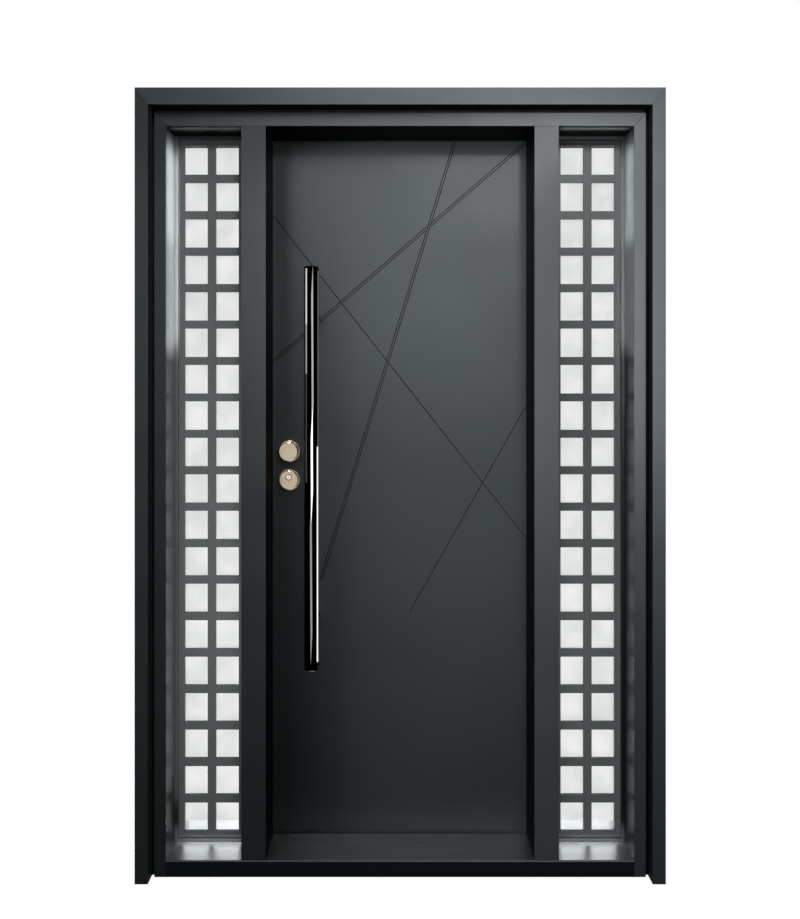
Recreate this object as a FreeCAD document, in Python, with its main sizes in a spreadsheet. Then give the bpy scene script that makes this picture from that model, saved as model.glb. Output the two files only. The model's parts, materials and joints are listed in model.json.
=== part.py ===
import FreeCAD, Part
import os
import re
import Sketcher

# Steel entrance door between two narrow glazed sidelights, in millimetres.
# X runs to the right, Y into the wall and Z up. The formulas below count Y from the front face of
# the inner frame. Every piece is then placed so that the origin is the middle of the sill's underside.

# Driving dimensions, one cell each
SIZES = {
    "overall_width": 1500,
    "overall_height": 2250,
    "frame_depth": 245,
    # Outer casing, a folded sheet channel that stands proud of the frame
    "casing_side_width": 37,
    "casing_head_width": 48,
    "casing_projection": 38,
    "casing_sheet": 2,
    "casing_tongue": 12,
    "casing_lip": 12,
    "side_shadow_gap": 9,
    "head_shadow_gap": 12,
    "web_setback": 3,
    # Inner frame
    "side_face_width": 33,
    "head_face_width": 38,
    "sill_height": 47,
    "sill_nose_radius": 5,
    "door_opening_width": 770,
    "mullion_width": 70,
    "stop_depth": 157,
    "stop_overlap": 15,
    "anchor_hole_radius": 6,
    "anchor_end_setback": 225,
    "anchor_depth": 200,
    # Running gaps round the leaf
    "leaf_gap": 5,
    "lock_side_gap": 11,
    "seal_thickness": 5,
    "seal_width": 8,
    "seal_inset": 2,
    "seal_gap": 5,
    # Sidelights
    "glazing_setback": 106,
    "bead_width": 10,
    "bead_depth": 12,
    "lattice_depth": 12,
    "crossbar_setback": 2,
    "stile_width": 27,
    "end_rail_width": 26,
    "glazing_bar_width": 24,
    "pane_rows": 19,
    "glass_depth": 20,
    "glass_edge_gap": 3,
    "rear_bead_width": 12,
    "rear_bead_depth": 12,
    # Leaf
    "outer_panel_depth": 3,
    "inner_panel_depth": 8,
    "inner_panel_margin": 42,
    "inner_panel_chamfer": 3,
    "groove_depth": 1.2,
    "steep_groove": 2.8,
    "steep_groove_spacing": 7,
    "rising_groove": 3.6,
    "rising_groove_spacing": 10.5,
    "fine_groove": 3.2,
    # Ends of the four engraved lines, from the leaf's centre line and from the floor
    "steep_line_top": 169,
    "steep_line_foot": -240,
    "steep_line_foot_height": 815,
    "rising_line_left_height": 1474,
    "rising_line_right_height": 2163,
    "falling_line_left_height": 1937,
    "falling_line_right_height": 926,
    "short_line_right_height": 1372,
    "short_line_foot": 30,
    "short_line_foot_height": 716,
    # Pull handle
    "pull_length": 1200,
    "pull_radius": 22.5,
    "pull_wall": 2.5,
    "pull_cap_depth": 4,
    "pull_centre": -262.6,
    "pull_height": 1162.5,
    "pull_standoff": 60,
    "pull_post_radius": 12,
    "pull_post_inset": 150,
    "pull_flange_radius": 20,
    "pull_flange_depth": 4,
    # Locks
    "lock_centre": -336,
    "upper_lock_height": 1209,
    "lower_lock_height": 1122,
    "escutcheon_radius": 32.5,
    "escutcheon_rim": 5,
    "escutcheon_face_radius": 29,
    "upper_escutcheon_depth": 32,
    "lower_escutcheon_depth": 20,
    "key_plug_radius": 8.5,
    "key_plug_rise": 8.5,
    "key_plug_gap": 0.3,
    "key_plug_recess": 1,
    "keyway_width": 2.4,
    "keyway_height": 9,
    "keyway_depth": 12,
    "lock_plate_length": 300,
    "lock_plate_width": 26,
    "lock_plate_depth": 3,
    "lock_plate_height": 1165,
    "bolt_radius": 8,
    "bolt_length": 45,
    "bolt_spacing": 60,
    "bolt_count": 3,
    "strike_hole_radius": 9.5,
    "strike_well_depth": 30,
    # Inside furniture
    "rosette_radius": 26,
    "rosette_depth": 9,
    "lever_height": 1035,
    "lever_reach": 125,
    "lever_radius": 8.5,
    "lever_neck": 42,
    "turn_width": 9,
    "turn_edge": 3,
    "turn_height": 32,
    "turn_depth": 22,
    "turn_stem_radius": 8,
    "turn_stem_depth": 8,
    # Hinges
    "hinge_barrel_radius": 11,
    "hinge_pin_radius": 5,
    "hinge_pin_play": 0.1,
    "hinge_axis_setback": 17,
    "hinge_half_height": 62,
    "hinge_half_gap": 1,
    "hinge_plate_depth": 4,
    "hinge_plate_width": 36,
    "hinge_web": 8,
    "hinge_end_setback": 268,
}

# Places worked out from the driving dimensions
PLACES = {
    "unit_side": "overall_width / 2",
    "casing_side": "unit_side - casing_side_width",
    "casing_under": "overall_height - casing_head_width",
    "face_side": "casing_side - side_shadow_gap",
    "face_top": "casing_under - head_shadow_gap",
    "reveal_side": "face_side - side_face_width",
    "reveal_top": "face_top - head_face_width",
    "web_side": "casing_side + web_setback",
    "web_top": "casing_under + web_setback",
    "mullion_inner": "door_opening_width / 2",
    "mullion_outer": "mullion_inner + mullion_width",
    "rebate_side": "mullion_inner + stop_overlap + leaf_gap",
    "rebate_foot": "sill_height - stop_overlap - leaf_gap",
    "rebate_top": "reveal_top + stop_overlap + leaf_gap",
    "leaf_right": "rebate_side - leaf_gap",
    "leaf_left": "lock_side_gap - rebate_side",
    "leaf_foot": "rebate_foot + leaf_gap",
    "leaf_top": "rebate_top - leaf_gap",
    "seal_side": "mullion_inner + seal_inset",
    "seal_foot": "sill_height - seal_inset",
    "seal_top": "reveal_top + seal_inset",
    "leaf_front": "stop_depth + seal_thickness + seal_gap",
    "core_front": "leaf_front + outer_panel_depth",
    "inner_panel_back": "frame_depth + inner_panel_depth",
    "lattice_front": "glazing_setback + bead_depth",
    "glass_front": "lattice_front + lattice_depth",
    "glass_back": "glass_front + glass_depth",
    "light_width": "reveal_side - mullion_outer",
    "light_height": "reveal_top - sill_height",
    "pane_width": "(light_width - 2 * stile_width - glazing_bar_width) / 2",
    "row_pitch": "(light_height - 2 * end_rail_width + glazing_bar_width) / pane_rows",
    "first_bar": "sill_height + end_rail_width + row_pitch - glazing_bar_width",
    "anchor_pitch": "(overall_height - 2 * anchor_end_setback) / 3",
    "pull_axis": "leaf_front - pull_standoff",
    "pull_foot": "pull_height - pull_length / 2",
    "pull_top": "pull_height + pull_length / 2",
    "pull_low_post": "pull_foot + pull_post_inset",
    "pull_high_post": "pull_top - pull_post_inset",
    "key_height": "lower_lock_height + key_plug_rise",
    "lock_middle": "(leaf_front + frame_depth) / 2",
    "lock_plate_foot": "lock_plate_height - lock_plate_length / 2",
    "lock_plate_top": "lock_plate_height + lock_plate_length / 2",
    "first_bolt": "lock_plate_height - (bolt_count - 1) * bolt_spacing / 2",
    "last_bolt": "lock_plate_height + (bolt_count - 1) * bolt_spacing / 2",
    "rosette_back": "inner_panel_back + rosette_depth",
    "hinge_side": "(rebate_side + leaf_right) / 2",
    "hinge_axis": "frame_depth + hinge_axis_setback",
    "hinge_low_height": "leaf_foot + hinge_end_setback",
    "hinge_high_height": "leaf_top - hinge_end_setback",
}

# How far the edges of a trimming tool run past what they cut
OVERRUN = 10

doc = FreeCAD.newDocument("DoorWithSidelights")
sheet = doc.addObject("Spreadsheet::Sheet", "Sizes")
for row, (alias, size) in enumerate(SIZES.items(), start=1):
    sheet.set(f"A{row}", alias)
    sheet.set(f"B{row}", str(size))
    sheet.setAlias(f"B{row}", alias)
doc.recompute()

nodes = []


def bound(formula):
    """The formula with derived places spelled out and each size read from its cell."""

    def spelled(match):
        word = match.group(0)
        if word in PLACES:
            return f"({bound(PLACES[word])})"
        return f"Sizes.{word}" if word in SIZES else word

    return re.sub(r"[a-z_]+", spelled, str(formula))


def now(formula):
    """What a formula comes to with the present sizes."""
    return float(sheet.evalExpression(bound(formula)))


def start_body(name):
    """An empty body whose label names the piece, set so that the origin is under the sill."""
    body = doc.addObject("PartDesign::Body", name)
    body.Label = name
    body.AllowCompound = True
    body.setExpression("Placement.Base.y", bound("-frame_depth / 2"))
    nodes.append(body)
    return body


def start_sketch(body, plane, start):
    """A sketch on one of the body's own origin planes, moved along its normal to start."""
    sketch = body.newObject("Sketcher::SketchObject", f"{body.Name}_sketch")
    support = next(item for item in body.Origin.OriginFeatures if item.Role == plane)
    sketch.AttachmentSupport = (support, [""])
    sketch.MapMode = "FlatFace"
    turned = "-1 * " if plane == "XZ_Plane" else ""
    sketch.setExpression("AttachmentOffset.Base.z", f"{turned}({bound(start)})")
    return sketch


def tie_point(sketch, geometry, point, across, along):
    """Hold one point of a sketch at two bound distances from the sketch's origin."""
    for kind, formula in (("DistanceX", across), ("DistanceY", along)):
        held = sketch.addConstraint(
            Sketcher.Constraint(kind, -1, 1, geometry, point, now(formula))
        )
        sketch.setExpression(f"Constraints[{held}]", bound(formula))


def draw_outline(sketch, corners):
    """A closed outline of straight lines through the corners."""
    spots = [FreeCAD.Vector(now(across), now(along), 0) for across, along in corners]
    first = sketch.GeometryCount
    count = len(corners)
    for index in range(count):
        line = Part.LineSegment(spots[index], spots[(index + 1) % count])
        sketch.addGeometry(line, False)
    for index in range(count):
        following = first + (index + 1) % count
        sketch.addConstraint(Sketcher.Constraint("Coincident", first + index, 2, following, 1))
    for index, (across, along) in enumerate(corners):
        tie_point(sketch, first + index, 1, across, along)


def draw_circle(sketch, across, along, radius):
    """A circle with a bound centre and radius."""
    centre = FreeCAD.Vector(now(across), now(along), 0)
    circle = Part.Circle(centre, FreeCAD.Vector(0, 0, 1), now(radius))
    index = sketch.addGeometry(circle, False)
    tie_point(sketch, index, 3, across, along)
    held = sketch.addConstraint(Sketcher.Constraint("Radius", index, now(radius)))
    sketch.setExpression(f"Constraints[{held}]", bound(radius))


def rectangle(left, right, low, high):
    """The four corners of an upright rectangle."""
    return [(left, low), (right, low), (right, high), (left, high)]


def extrude(body, plane, start, end, outlines=(), circles=(), cut=False):
    """Pad or pocket a sketch from start to end, measured along the plane's own axis."""
    sketch = start_sketch(body, plane, start)
    for corners in outlines:
        draw_outline(sketch, corners)
    for circle in circles:
        draw_circle(sketch, *circle)
    kind = "PartDesign::Pocket" if cut else "PartDesign::Pad"
    feature = body.newObject(kind, f"{body.Name}_{'cut' if cut else 'pad'}")
    feature.Profile = sketch
    feature.setExpression("Length", bound(f"({end}) - ({start})"))
    feature.Reversed = (plane == "XZ_Plane") != cut
    sketch.Visibility = False
    return feature


def round_edges(body, radius, chosen, kind="PartDesign::Fillet"):
    """Fillet or chamfer the edges of the tip that the chosen test picks."""
    doc.recompute()
    base = body.Tip
    shape = base.Shape
    names = [f"Edge{n}" for n, edge in enumerate(shape.Edges, start=1) if chosen(edge)]
    feature = body.newObject(kind, f"{body.Name}_edge")
    feature.Base = (base, names)
    cell = "Radius" if kind.endswith("Fillet") else "Size"
    feature.setExpression(cell, bound(radius))
    return feature


def mirrored(side, formula):
    """A distance to the right of the centre line, or to the left where side is -1."""
    return formula if side > 0 else f"-1 * ({formula})"


def jamb(name, side):
    """Side member: a boxed profile with a low flange that the casing's tongue lands on."""
    body = start_body(name)
    plan = [
        ("reveal_side", "0"),
        ("face_side", "0"),
        ("face_side", "casing_tongue"),
        ("web_side", "casing_tongue"),
        ("web_side", "frame_depth"),
        ("reveal_side", "frame_depth"),
    ]
    extrude(body, "XY_Plane", "0", "web_top", [[(mirrored(side, x), y) for x, y in plan]])
    mitre = [
        ("reveal_side", "reveal_top"),
        ("face_side", "face_top"),
        ("web_side", "web_top"),
        ("web_side", f"web_top + {OVERRUN}"),
        (f"reveal_side - {OVERRUN}", f"web_top + {OVERRUN}"),
        (f"reveal_side - {OVERRUN}", "reveal_top"),
    ]
    outline = [(mirrored(side, x), z) for x, z in mitre]
    extrude(body, "XZ_Plane", f"-{OVERRUN}", f"frame_depth + {OVERRUN}", [outline], cut=True)
    low, high = ("reveal_side", "web_side") if side > 0 else ("-1 * web_side", "-1 * reveal_side")
    anchors = [f"anchor_end_setback + {index} * anchor_pitch" for index in range(4)]
    holes = [("anchor_depth", height, "anchor_hole_radius") for height in anchors]
    extrude(
        body, "YZ_Plane", f"{low} - {OVERRUN}", f"{high} + {OVERRUN}", circles=holes, cut=True
    )
    return body


def frame_head():
    """Head member with mitred ends and a rebate over the leaf."""
    body = start_body("frame_head")
    section = [
        ("0", "reveal_top"),
        ("frame_depth", "reveal_top"),
        ("frame_depth", "web_top"),
        ("casing_tongue", "web_top"),
        ("casing_tongue", "face_top"),
        ("0", "face_top"),
    ]
    extrude(body, "YZ_Plane", "-1 * web_side", "web_side", [section])
    for side in (-1, 1):
        waste = [
            ("reveal_side", "reveal_top"),
            ("face_side", "face_top"),
            ("web_side", "web_top"),
            (f"web_side + {OVERRUN}", "web_top"),
            (f"web_side + {OVERRUN}", f"reveal_top - {OVERRUN}"),
            ("reveal_side", f"reveal_top - {OVERRUN}"),
        ]
        outline = [(mirrored(side, x), z) for x, z in waste]
        extrude(body, "XZ_Plane", f"-{OVERRUN}", f"frame_depth + {OVERRUN}", [outline], cut=True)
    rebate = rectangle("-1 * rebate_side", "rebate_side", f"reveal_top - {OVERRUN}", "rebate_top")
    extrude(body, "XZ_Plane", "stop_depth", f"frame_depth + {OVERRUN}", [rebate], cut=True)
    return body


def threshold():
    """Sill member between the jambs, rounded at its front edge and stepped down under the leaf."""
    body = start_body("threshold")
    block = rectangle("-1 * reveal_side", "reveal_side", "0", "sill_height")
    extrude(body, "XZ_Plane", "0", "frame_depth", [block])
    step = rectangle(
        "-1 * rebate_side", "rebate_side", "rebate_foot", f"sill_height + {OVERRUN}"
    )
    extrude(body, "XZ_Plane", "stop_depth", f"frame_depth + {OVERRUN}", [step], cut=True)
    top = now("sill_height")

    def front_top(edge):
        box = edge.BoundBox
        return abs(box.YMin) < 0.01 and abs(box.YMax) < 0.01 and abs(box.ZMin - top) < 0.01

    round_edges(body, "sill_nose_radius", front_top)
    return body


def mullion(name, side):
    """Post between door and sidelight. Its front part is deeper set in and makes the door stop."""
    body = start_body(name)
    plan = [
        ("mullion_inner", "0"),
        ("mullion_outer", "0"),
        ("mullion_outer", "frame_depth"),
        ("rebate_side", "frame_depth"),
        ("rebate_side", "stop_depth"),
        ("mullion_inner", "stop_depth"),
    ]
    extrude(
        body, "XY_Plane", "sill_height", "reveal_top", [[(mirrored(side, x), y) for x, y in plan]]
    )
    return body


def casing_section(across, edge):
    """Folded channel: front face, outer side with a lip, and a tongue back into the frame."""
    sheet_in = f"{across} + casing_sheet"
    sheet_out = f"{edge} - casing_sheet"
    return [
        (across, "-1 * casing_projection"),
        (edge, "-1 * casing_projection"),
        (edge, "0"),
        (f"{edge} - casing_lip", "0"),
        (f"{edge} - casing_lip", "-1 * casing_sheet"),
        (sheet_out, "-1 * casing_sheet"),
        (sheet_out, "casing_sheet - casing_projection"),
        (sheet_in, "casing_sheet - casing_projection"),
        (sheet_in, "casing_tongue"),
        (across, "casing_tongue"),
    ]


def casing_leg(name, side):
    """Upright casing strip, mitred at the top along the line between the frame's corners."""
    body = start_body(name)
    plan = [(mirrored(side, x), y) for x, y in casing_section("casing_side", "unit_side")]
    extrude(body, "XY_Plane", "0", "overall_height", [plan])
    waste = [
        ("casing_side", "casing_under"),
        ("unit_side", "overall_height"),
        ("unit_side", f"overall_height + {OVERRUN}"),
        (f"casing_side - {OVERRUN}", f"overall_height + {OVERRUN}"),
        (f"casing_side - {OVERRUN}", "casing_under"),
    ]
    outline = [(mirrored(side, x), z) for x, z in waste]
    front = f"-1 * casing_projection - {OVERRUN}"
    extrude(body, "XZ_Plane", front, f"casing_tongue + {OVERRUN}", [outline], cut=True)
    return body


def casing_head():
    """Casing strip over the unit, mitred at both ends."""
    body = start_body("architrave_head")
    section = [(y, z) for z, y in casing_section("casing_under", "overall_height")]
    extrude(body, "YZ_Plane", "-1 * unit_side", "unit_side", [section])
    front = f"-1 * casing_projection - {OVERRUN}"
    for side in (-1, 1):
        waste = [
            ("casing_side", "casing_under"),
            ("unit_side", "overall_height"),
            (f"unit_side + {OVERRUN}", "overall_height"),
            (f"unit_side + {OVERRUN}", f"casing_under - {OVERRUN}"),
            ("casing_side", f"casing_under - {OVERRUN}"),
        ]
        outline = [(mirrored(side, x), z) for x, z in waste]
        extrude(body, "XZ_Plane", front, f"casing_tongue + {OVERRUN}", [outline], cut=True)
    return body


def light_ring(side, width):
    """Outer and inner outlines of a rectangular ring that lines a sidelight's opening."""
    outer = rectangle("mullion_outer", "reveal_side", "sill_height", "reveal_top")
    inner = rectangle(
        f"mullion_outer + {width}",
        f"reveal_side - {width}",
        f"sill_height + {width}",
        f"reveal_top - {width}",
    )
    return [[(mirrored(side, x), z) for x, z in ring] for ring in (outer, inner)]


def front_bead(name, side):
    """Slim bead in front of the lattice, all round the opening."""
    body = start_body(name)
    extrude(body, "XZ_Plane", "glazing_setback", "lattice_front", light_ring(side, "bead_width"))
    return body


def rear_bead(name, side):
    """Bead that holds the glass from the room side."""
    body = start_body(name)
    ring = light_ring(side, "rear_bead_width")
    extrude(body, "XZ_Plane", "glass_back", "glass_back + rear_bead_depth", ring)
    return body


def lattice(name, side):
    """Flat steel lattice: two stiles, a middle bar and crossbars set back a little behind them."""
    body = start_body(name)
    outer = rectangle("mullion_outer", "reveal_side", "sill_height", "reveal_top")
    low = "sill_height + end_rail_width"
    high = "reveal_top - end_rail_width"
    near = rectangle(
        "mullion_outer + stile_width", "mullion_outer + stile_width + pane_width", low, high
    )
    far = rectangle(
        "reveal_side - stile_width - pane_width", "reveal_side - stile_width", low, high
    )
    outlines = [[(mirrored(side, x), z) for x, z in ring] for ring in (outer, near, far)]
    extrude(body, "XZ_Plane", "lattice_front", "glass_front", outlines)
    left, right = "mullion_outer + stile_width", "reveal_side - stile_width"
    bar = rectangle(left, right, "first_bar", "first_bar + glazing_bar_width")
    outline = [(mirrored(side, x), z) for x, z in bar]
    crossbar = extrude(
        body, "XZ_Plane", "lattice_front + crossbar_setback", "glass_front", [outline]
    )
    doc.recompute()
    rows = body.newObject("PartDesign::LinearPattern", f"{name}_rows")
    rows.Originals = [crossbar]
    rows.Direction = (crossbar.Profile[0], ["V_Axis"])
    rows.setExpression("Length", bound("(pane_rows - 2) * row_pitch"))
    rows.setExpression("Occurrences", bound("pane_rows - 1"))
    body.Tip = rows
    return body


def glass(name, side):
    """One sealed glazing unit behind the lattice, with setting room all round."""
    body = start_body(name)
    sheet_outline = rectangle(
        "mullion_outer + glass_edge_gap",
        "reveal_side - glass_edge_gap",
        "sill_height + glass_edge_gap",
        "reveal_top - glass_edge_gap",
    )
    outline = [(mirrored(side, x), z) for x, z in sheet_outline]
    extrude(body, "XZ_Plane", "glass_front", "glass_back", [outline])
    return body


def door_seal():
    """Rubber ring on the back of the stops. It stays clear of the leaf all round."""
    body = start_body("door_seal")
    inner = rectangle("-1 * seal_side", "seal_side", "seal_foot", "seal_top")
    outer = rectangle(
        "-1 * (seal_side + seal_width)",
        "seal_side + seal_width",
        "seal_foot - seal_width",
        "seal_top + seal_width",
    )
    extrude(body, "XZ_Plane", "stop_depth", "stop_depth + seal_thickness", [outer, inner])
    return body


def bolt_circles(radius):
    """One circle for each bolt, up the middle of the lock's plate."""
    count = int(now("bolt_count"))
    return [
        ("lock_middle", f"first_bolt + {index} * bolt_spacing", radius) for index in range(count)
    ]


def plate_outline():
    """Outline shared by the lock's faceplate and the strike plate, seen along X."""
    return rectangle(
        "lock_middle - lock_plate_width / 2",
        "lock_middle + lock_plate_width / 2",
        "lock_plate_foot",
        "lock_plate_top",
    )


def seat_strike(post):
    """Recess for the strike plate in the left mullion, and a well behind it for the bolts."""
    rebate = "-1 * rebate_side"
    extrude(
        post, "YZ_Plane", f"{rebate} - lock_plate_depth", rebate, [plate_outline()], cut=True
    )
    well = rectangle(
        "lock_middle - strike_hole_radius",
        "lock_middle + strike_hole_radius",
        "first_bolt - strike_hole_radius",
        "last_bolt + strike_hole_radius",
    )
    extrude(post, "YZ_Plane", f"{rebate} - strike_well_depth", rebate, [well], cut=True)


def strike_plate():
    """Plate with bolt holes, flush in the left mullion."""
    body = start_body("strike_plate")
    extrude(
        body,
        "YZ_Plane",
        "-1 * rebate_side - lock_plate_depth",
        "-1 * rebate_side",
        [plate_outline()],
        bolt_circles("strike_hole_radius"),
    )
    return body


def leaf_core():
    """Welded steel leaf behind its outer panel, with seats for the faceplate and the bolts."""
    body = start_body("leaf_core")
    outline = rectangle("leaf_left", "leaf_right", "leaf_foot", "leaf_top")
    extrude(body, "XZ_Plane", "core_front", "frame_depth", [outline])
    plate_back = "leaf_left + lock_plate_depth"
    extrude(body, "YZ_Plane", "leaf_left", plate_back, [plate_outline()], cut=True)
    extrude(
        body,
        "YZ_Plane",
        "leaf_left",
        "leaf_left + bolt_length",
        circles=bolt_circles("bolt_radius"),
        cut=True,
    )
    return body


def groove(first, last, width, shift="0"):
    """A straight groove with level ends. Its width and shift are measured along X."""
    low, high = f"({shift}) - {width} / 2", f"({shift}) + {width} / 2"
    (across_first, height_first), (across_last, height_last) = first, last
    return [
        (f"{across_first} + {low}", height_first),
        (f"{across_first} + {high}", height_first),
        (f"{across_last} + {high}", height_last),
        (f"{across_last} + {low}", height_last),
    ]


def outer_panel():
    """Front skin of the leaf with its engraved lines: two double and two single."""
    body = start_body("leaf_outer_panel")
    outline = rectangle("leaf_left", "leaf_right", "leaf_foot", "leaf_top")
    extrude(body, "XZ_Plane", "leaf_front", "core_front", [outline])
    steep = (
        ("steep_line_top", "reveal_top"),
        ("steep_line_foot", "steep_line_foot_height"),
    )
    rising = (
        ("leaf_left", "rising_line_left_height"),
        ("leaf_right", "rising_line_right_height"),
    )
    falling = (
        ("leaf_left", "falling_line_left_height"),
        ("leaf_right", "falling_line_right_height"),
    )
    short = (
        ("leaf_right", "short_line_right_height"),
        ("short_line_foot", "short_line_foot_height"),
    )
    lines = [
        groove(*steep, "steep_groove", "-1 * steep_groove_spacing / 2"),
        groove(*steep, "steep_groove", "steep_groove_spacing / 2"),
        groove(*rising, "rising_groove", "-1 * rising_groove_spacing / 2"),
        groove(*rising, "rising_groove", "rising_groove_spacing / 2"),
        groove(*falling, "fine_groove"),
        groove(*short, "fine_groove"),
    ]
    for line in lines:
        extrude(body, "XZ_Plane", "leaf_front", "leaf_front + groove_depth", [line], cut=True)
    return body


def inner_panel():
    """Plain room-side panel on the back of the leaf, with a chamfered rim."""
    body = start_body("leaf_inner_panel")
    outline = rectangle(
        "leaf_left + inner_panel_margin",
        "leaf_right - inner_panel_margin",
        "leaf_foot + inner_panel_margin",
        "leaf_top - inner_panel_margin",
    )
    extrude(body, "XZ_Plane", "frame_depth", "inner_panel_back", [outline])
    back = now("inner_panel_back")

    def on_back(edge):
        return abs(edge.BoundBox.YMin - back) < 0.01

    round_edges(body, "inner_panel_chamfer", on_back, "PartDesign::Chamfer")
    return body


def lock_faceplate():
    """Plate in the leaf's lock edge with a hole for each bolt."""
    body = start_body("lock_faceplate")
    extrude(
        body,
        "YZ_Plane",
        "leaf_left",
        "leaf_left + lock_plate_depth",
        [plate_outline()],
        bolt_circles("bolt_radius"),
    )
    return body


def lock_bolts():
    """Round bolts drawn back flush with the faceplate."""
    body = start_body("lock_bolts")
    extrude(
        body,
        "YZ_Plane",
        "leaf_left",
        "leaf_left + bolt_length",
        circles=bolt_circles("bolt_radius"),
    )
    return body


def pull_bar():
    """Long round tube of the pull handle, closed by a cap at each end."""
    body = start_body("pull_handle_bar")
    outside = ("pull_centre", "pull_axis", "pull_radius")
    inside = ("pull_centre", "pull_axis", "pull_radius - pull_wall")
    extrude(body, "XY_Plane", "pull_foot", "pull_top", circles=[outside])
    low, high = "pull_foot + pull_cap_depth", "pull_top - pull_cap_depth"
    extrude(body, "XY_Plane", low, high, circles=[inside], cut=True)
    foot, top = now("pull_foot"), now("pull_top")
    reach = now("pull_radius")

    def rim(edge):
        box = edge.BoundBox
        level = min(abs(box.ZMin - foot), abs(box.ZMax - top)) < 0.01
        return level and box.ZLength < 0.01 and box.XLength > 1.9 * reach

    round_edges(body, "pull_wall / 2", rim, "PartDesign::Chamfer")
    return body


def pull_posts():
    """Two standoffs with flanges. Each is hollowed to seat against the round bar."""
    body = start_body("pull_handle_posts")
    heights = ("pull_low_post", "pull_high_post")
    stems = [("pull_centre", height, "pull_post_radius") for height in heights]
    flanges = [("pull_centre", height, "pull_flange_radius") for height in heights]
    extrude(body, "XZ_Plane", "pull_axis", "leaf_front", circles=stems)
    extrude(
        body, "XZ_Plane", "leaf_front - pull_flange_depth", "leaf_front", circles=flanges
    )
    seat = ("pull_centre", "pull_axis", "pull_radius")
    extrude(body, "XY_Plane", "pull_foot", "pull_top", circles=[seat], cut=True)
    return body


def escutcheon(name, height, depth):
    """Turned lock guard: a base ring and a round face that stands out from it."""
    body = start_body(name)
    sketch = start_sketch(body, "XY_Plane", height)
    profile = [
        ("lock_centre", "leaf_front"),
        ("lock_centre + escutcheon_radius", "leaf_front"),
        ("lock_centre + escutcheon_radius", "leaf_front - escutcheon_rim"),
        ("lock_centre + escutcheon_face_radius", "leaf_front - escutcheon_rim"),
        ("lock_centre + escutcheon_face_radius", f"leaf_front - {depth}"),
        ("lock_centre", f"leaf_front - {depth}"),
    ]
    draw_outline(sketch, profile)
    turned = body.newObject("PartDesign::Revolution", f"{name}_turned")
    turned.Profile = sketch
    turned.ReferenceAxis = (sketch, [f"Edge{len(profile)}"])
    turned.Angle = 360
    sketch.Visibility = False
    return body


def bore_for_plug(body):
    """Round bore through the lower escutcheon for the key plug."""
    hole = ("lock_centre", "key_height", "key_plug_radius")
    extrude(
        body,
        "XZ_Plane",
        "leaf_front - lower_escutcheon_depth",
        "leaf_front",
        circles=[hole],
        cut=True,
    )


def key_plug():
    """Turning plug with a keyway, a running fit in the lower escutcheon."""
    body = start_body("key_plug")
    front = "leaf_front - lower_escutcheon_depth + key_plug_recess"
    disc = ("lock_centre", "key_height", "key_plug_radius - key_plug_gap / 3")
    extrude(body, "XZ_Plane", front, "leaf_front - key_plug_gap", circles=[disc])
    slot = rectangle(
        "lock_centre - keyway_width / 2",
        "lock_centre + keyway_width / 2",
        "key_height - keyway_height / 2",
        "key_height + keyway_height / 2",
    )
    extrude(body, "XZ_Plane", front, f"{front} + keyway_depth", [slot], cut=True)
    return body


def inner_rosettes():
    """Three round rosettes on the room side: lever, lower lock and upper lock."""
    body = start_body("inner_rosettes")
    heights = ("lever_height", "lower_lock_height", "upper_lock_height")
    discs = [("lock_centre", height, "rosette_radius") for height in heights]
    extrude(body, "XZ_Plane", "inner_panel_back", "rosette_back", circles=discs)
    return body


def inner_lever():
    """Lever handle: a neck out of the rosette and an arm towards the hinges, crossed at one corner."""
    body = start_body("inner_lever")
    neck = ("lock_centre", "lever_height", "lever_radius")
    neck_end = "rosette_back + lever_neck + lever_radius"
    extrude(body, "XZ_Plane", "rosette_back", neck_end, circles=[neck])
    arm = ("rosette_back + lever_neck", "lever_height", "lever_radius")
    arm_start = "lock_centre - lever_radius"
    extrude(body, "YZ_Plane", arm_start, "lock_centre + lever_reach", circles=[arm])
    return body


def thumbturn(name, height):
    """Small upright turn with eased corners, on a stem in the middle of its rosette."""
    body = start_body(name)
    stem = ("lock_centre", height, "turn_stem_radius")
    extrude(body, "XZ_Plane", "rosette_back", "rosette_back + turn_stem_depth", circles=[stem])
    left, right = "lock_centre - turn_width / 2", "lock_centre + turn_width / 2"
    low, high = f"{height} - turn_height / 2", f"{height} + turn_height / 2"
    wing = [
        (f"{left} + turn_edge", low),
        (f"{right} - turn_edge", low),
        (right, f"{low} + turn_edge"),
        (right, f"{high} - turn_edge"),
        (f"{right} - turn_edge", high),
        (f"{left} + turn_edge", high),
        (left, f"{high} - turn_edge"),
        (left, f"{low} + turn_edge"),
    ]
    start = "rosette_back + turn_stem_depth"
    extrude(body, "XZ_Plane", start, f"{start} + turn_depth", [wing])
    return body


def hinge_half(name, low, high, side, bore):
    """Half of a barrel hinge: barrel, web and plate. Side is 1 on the frame and -1 on the leaf."""
    body = start_body(name)
    barrel = ("hinge_side", "hinge_axis", "hinge_barrel_radius")
    extrude(body, "XY_Plane", low, high, circles=[barrel])
    edge = "rebate_side" if side > 0 else "leaf_right"
    sign = "+" if side > 0 else "-"
    plate_back = "frame_depth + hinge_plate_depth"
    web = [
        (edge, "frame_depth"),
        (f"{edge} {sign} hinge_web", "frame_depth"),
        (f"{edge} {sign} hinge_web", "hinge_axis"),
        (edge, "hinge_axis"),
    ]
    plate = [
        (f"{edge} {sign} hinge_web", "frame_depth"),
        (f"{edge} {sign} hinge_plate_width", "frame_depth"),
        (f"{edge} {sign} hinge_plate_width", plate_back),
        (f"{edge} {sign} hinge_web", plate_back),
    ]
    extrude(body, "XY_Plane", low, high, [web])
    extrude(body, "XY_Plane", low, high, [plate])
    hole = ("hinge_side", "hinge_axis", bore)
    extrude(body, "XY_Plane", low, high, circles=[hole], cut=True)
    return body


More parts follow.
